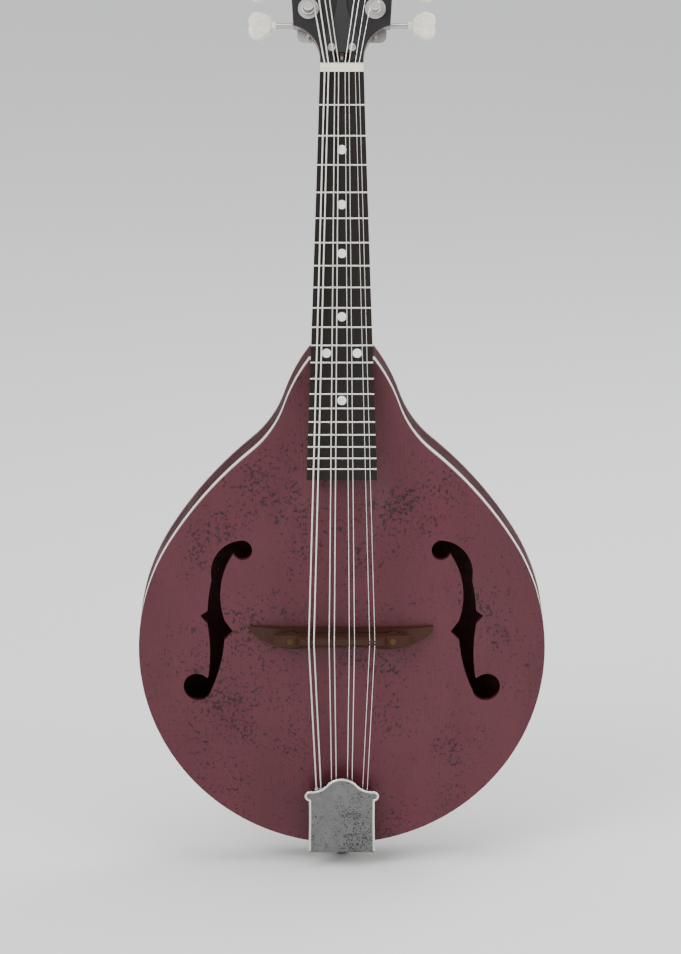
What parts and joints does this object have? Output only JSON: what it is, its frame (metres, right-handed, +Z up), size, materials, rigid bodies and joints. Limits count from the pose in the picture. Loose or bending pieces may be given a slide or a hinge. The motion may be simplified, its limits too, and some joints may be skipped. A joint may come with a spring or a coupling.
{
  "type": "mandolin",
  "caption": "Carved-top teardrop mandolin with f-shaped sound holes, paired strings, adjustable bridge, geared tuners and a strap pin.",
  "frame": {"origin": "middle of the strap pin's head, on the centre line at the tail", "axes": "+Z up along the body towards the headstock, -Y out of the soundboard towards the player's audience, -X the bass side"},
  "size_m": [0.247, 0.1024, 0.6235],
  "materials": {
    "soundboard": "maroon stained spruce under satin lacquer",
    "back": "dark maroon stained maple under gloss lacquer",
    "ribs": "dark maroon stained maple under gloss lacquer",
    "neck": "dark maroon stained maple under satin lacquer",
    "inside_wood": "bare maple and basswood",
    "spruce": "bare spruce",
    "binding": "white celluloid",
    "overlay": "black stained veneer, lacquered",
    "cover_plate": "black laminate",
    "fretboard": "oiled ebony",
    "ebony": "polished ebony",
    "bridge_wood": "oiled rosewood",
    "fret_wire": "polished nickel silver",
    "pearl": "pearl",
    "bone": "polished bone",
    "wound_string": "nickel wound steel",
    "plain_string": "plain steel",
    "steel": "mild steel",
    "brass": "plain brass",
    "aged_brass": "darkened brass",
    "nickel": "nickel plate",
    "tuner_post": "nickel plate with a brass gear",
    "tail_cover": "grey satin nickel, stamped",
    "button": "cream pearloid"
  },
  "bodies": {
    "instrument": {"top_plate": "soundboard", "back_plate": "back", "rib_bass": "ribs", "rib_treble": "ribs", "top_binding": "binding", "head_block": "ribs", "tail_block": "inside_wood", "top_linings": "inside_wood", "back_linings": "inside_wood", "tone_bars": "spruce", "neck": "neck", "peghead_overlay": "overlay", "truss_rod": "steel", "truss_rod_cover": "cover_plate", "fretboard": "fretboard", "frets": "fret_wire", "fret_markers": "pearl", "strings_g": "wound_string", "strings_d": "wound_string", "strings_a": "plain_string", "strings_e": "plain_string", "nut": "bone", "bridge_base": "bridge_wood", "bridge_posts": "aged_brass", "tailpiece_base": "nickel", "tailpiece_screws": "nickel", "end_pin": "ebony", "tuner_plate_bass": "nickel", "tuner_plate_treble": "nickel", "post_bushings": "nickel", "headstock_screws": "nickel"},
    "saddle": {"bridge_saddle": "bridge_wood"},
    "wheel_bass": {"thumbwheel_bass": "aged_brass"},
    "wheel_treble": {"thumbwheel_treble": "aged_brass"},
    "tail_cover": {"tailpiece_cover": "tail_cover"},
    "rod_nut": {"truss_rod_nut": "brass"},
    "tuner_g1": {"tuner_shaft_g1": "nickel", "tuner_button_g1": "button"},
    "post_g1": {"string_post_g1": "tuner_post"},
    "tuner_g2": {"tuner_shaft_g2": "nickel", "tuner_button_g2": "button"},
    "post_g2": {"string_post_g2": "tuner_post"},
    "tuner_d1": {"tuner_shaft_d1": "nickel", "tuner_button_d1": "button"},
    "post_d1": {"string_post_d1": "tuner_post"},
    "tuner_d2": {"tuner_shaft_d2": "nickel", "tuner_button_d2": "button"},
    "post_d2": {"string_post_d2": "tuner_post"},
    "tuner_e1": {"tuner_shaft_e1": "nickel", "tuner_button_e1": "button"},
    "post_e1": {"string_post_e1": "tuner_post"},
    "tuner_e2": {"tuner_shaft_e2": "nickel", "tuner_button_e2": "button"},
    "post_e2": {"string_post_e2": "tuner_post"},
    "tuner_a1": {"tuner_shaft_a1": "nickel", "tuner_button_a1": "button"},
    "post_a1": {"string_post_a1": "tuner_post"},
    "tuner_a2": {"tuner_shaft_a2": "nickel", "tuner_button_a2": "button"},
    "post_a2": {"string_post_a2": "tuner_post"}
  },
  "joints": [
    {"name": "saddle_lift", "type": "slide", "parent": "instrument", "child": "saddle", "axis": [0, -1, 0], "range_m": [-0.001, 0.002], "deforming": ["strings_g", "strings_d", "strings_a", "strings_e"]},
    {"name": "thumbwheel_bass_turn", "type": "hinge", "parent": "saddle", "child": "wheel_bass", "pos_m": [-0.031, -0.0436, 0.14454], "axis": [0, -1, 0], "range_deg": [-520, 1035]},
    {"name": "thumbwheel_treble_turn", "type": "hinge", "parent": "saddle", "child": "wheel_treble", "pos_m": [0.031, -0.0436, 0.14454], "axis": [0, -1, 0], "range_deg": [-520, 1035]},
    {"name": "tailpiece_cover_slide", "type": "slide", "parent": "instrument", "child": "tail_cover", "axis": [0, -0.1668, 0.986], "range_m": [0, 0.027]},
    {"name": "truss_rod_nut_turn", "type": "hinge", "parent": "instrument", "child": "rod_nut", "pos_m": [0, -0.00165, 0.49855], "axis": [0, 0.0958, 0.9954], "range_deg": [-180, 180]},
    {"name": "tuner_g1_turn", "type": "hinge", "parent": "instrument", "child": "tuner_g1", "pos_m": [-0.02, 0.01647, 0.50952], "axis": [1, 0, 0], "continuous": true},
    {"name": "post_g1_turn", "type": "hinge", "parent": "instrument", "child": "post_g1", "pos_m": [-0.02, 0.0009, 0.52246], "axis": [0, 0.9426, -0.3338], "continuous": true},
    {"name": "tuner_g2_turn", "type": "hinge", "parent": "instrument", "child": "tuner_g2", "pos_m": [-0.02, 0.02415, 0.5312], "axis": [1, 0, 0], "continuous": true},
    {"name": "post_g2_turn", "type": "hinge", "parent": "instrument", "child": "post_g2", "pos_m": [-0.02, 0.00858, 0.54414], "axis": [0, 0.9426, -0.3338], "continuous": true},
    {"name": "tuner_d1_turn", "type": "hinge", "parent": "instrument", "child": "tuner_d1", "pos_m": [-0.02, 0.03183, 0.55288], "axis": [1, 0, 0], "continuous": true},
    {"name": "post_d1_turn", "type": "hinge", "parent": "instrument", "child": "post_d1", "pos_m": [-0.02, 0.01625, 0.56582], "axis": [0, 0.9426, -0.3338], "continuous": true},
    {"name": "tuner_d2_turn", "type": "hinge", "parent": "instrument", "child": "tuner_d2", "pos_m": [-0.02, 0.0395, 0.57456], "axis": [1, 0, 0], "continuous": true},
    {"name": "post_d2_turn", "type": "hinge", "parent": "instrument", "child": "post_d2", "pos_m": [-0.02, 0.02393, 0.5875], "axis": [0, 0.9426, -0.3338], "continuous": true},
    {"name": "tuner_e1_turn", "type": "hinge", "parent": "instrument", "child": "tuner_e1", "pos_m": [0.02, 0.01647, 0.50952], "axis": [1, 0, 0], "continuous": true},
    {"name": "post_e1_turn", "type": "hinge", "parent": "instrument", "child": "post_e1", "pos_m": [0.02, 0.0009, 0.52246], "axis": [0, 0.9426, -0.3338], "continuous": true},
    {"name": "tuner_e2_turn", "type": "hinge", "parent": "instrument", "child": "tuner_e2", "pos_m": [0.02, 0.02415, 0.5312], "axis": [1, 0, 0], "continuous": true},
    {"name": "post_e2_turn", "type": "hinge", "parent": "instrument", "child": "post_e2", "pos_m": [0.02, 0.00858, 0.54414], "axis": [0, 0.9426, -0.3338], "continuous": true},
    {"name": "tuner_a1_turn", "type": "hinge", "parent": "instrument", "child": "tuner_a1", "pos_m": [0.02, 0.03183, 0.55288], "axis": [1, 0, 0], "continuous": true},
    {"name": "post_a1_turn", "type": "hinge", "parent": "instrument", "child": "post_a1", "pos_m": [0.02, 0.01625, 0.56582], "axis": [0, 0.9426, -0.3338], "continuous": true},
    {"name": "tuner_a2_turn", "type": "hinge", "parent": "instrument", "child": "tuner_a2", "pos_m": [0.02, 0.0395, 0.57456], "axis": [1, 0, 0], "continuous": true},
    {"name": "post_a2_turn", "type": "hinge", "parent": "instrument", "child": "post_a2", "pos_m": [0.02, 0.02393, 0.5875], "axis": [0, 0.9426, -0.3338], "continuous": true}
  ],
  "couplings": [
    {"joint": "thumbwheel_bass_turn", "follows": "saddle_lift", "rad_per_m": 8976},
    {"joint": "thumbwheel_treble_turn", "follows": "saddle_lift", "rad_per_m": 8976},
    {"joint": "post_g1_turn", "follows": "tuner_g1_turn", "ratio": -0.071429},
    {"joint": "post_g2_turn", "follows": "tuner_g2_turn", "ratio": -0.071429},
    {"joint": "post_d1_turn", "follows": "tuner_d1_turn", "ratio": -0.071429},
    {"joint": "post_d2_turn", "follows": "tuner_d2_turn", "ratio": -0.071429},
    {"joint": "post_e1_turn", "follows": "tuner_e1_turn", "ratio": 0.071429},
    {"joint": "post_e2_turn", "follows": "tuner_e2_turn", "ratio": 0.071429},
    {"joint": "post_a1_turn", "follows": "tuner_a1_turn", "ratio": 0.071429},
    {"joint": "post_a2_turn", "follows": "tuner_a2_turn", "ratio": 0.071429}
  ]
}
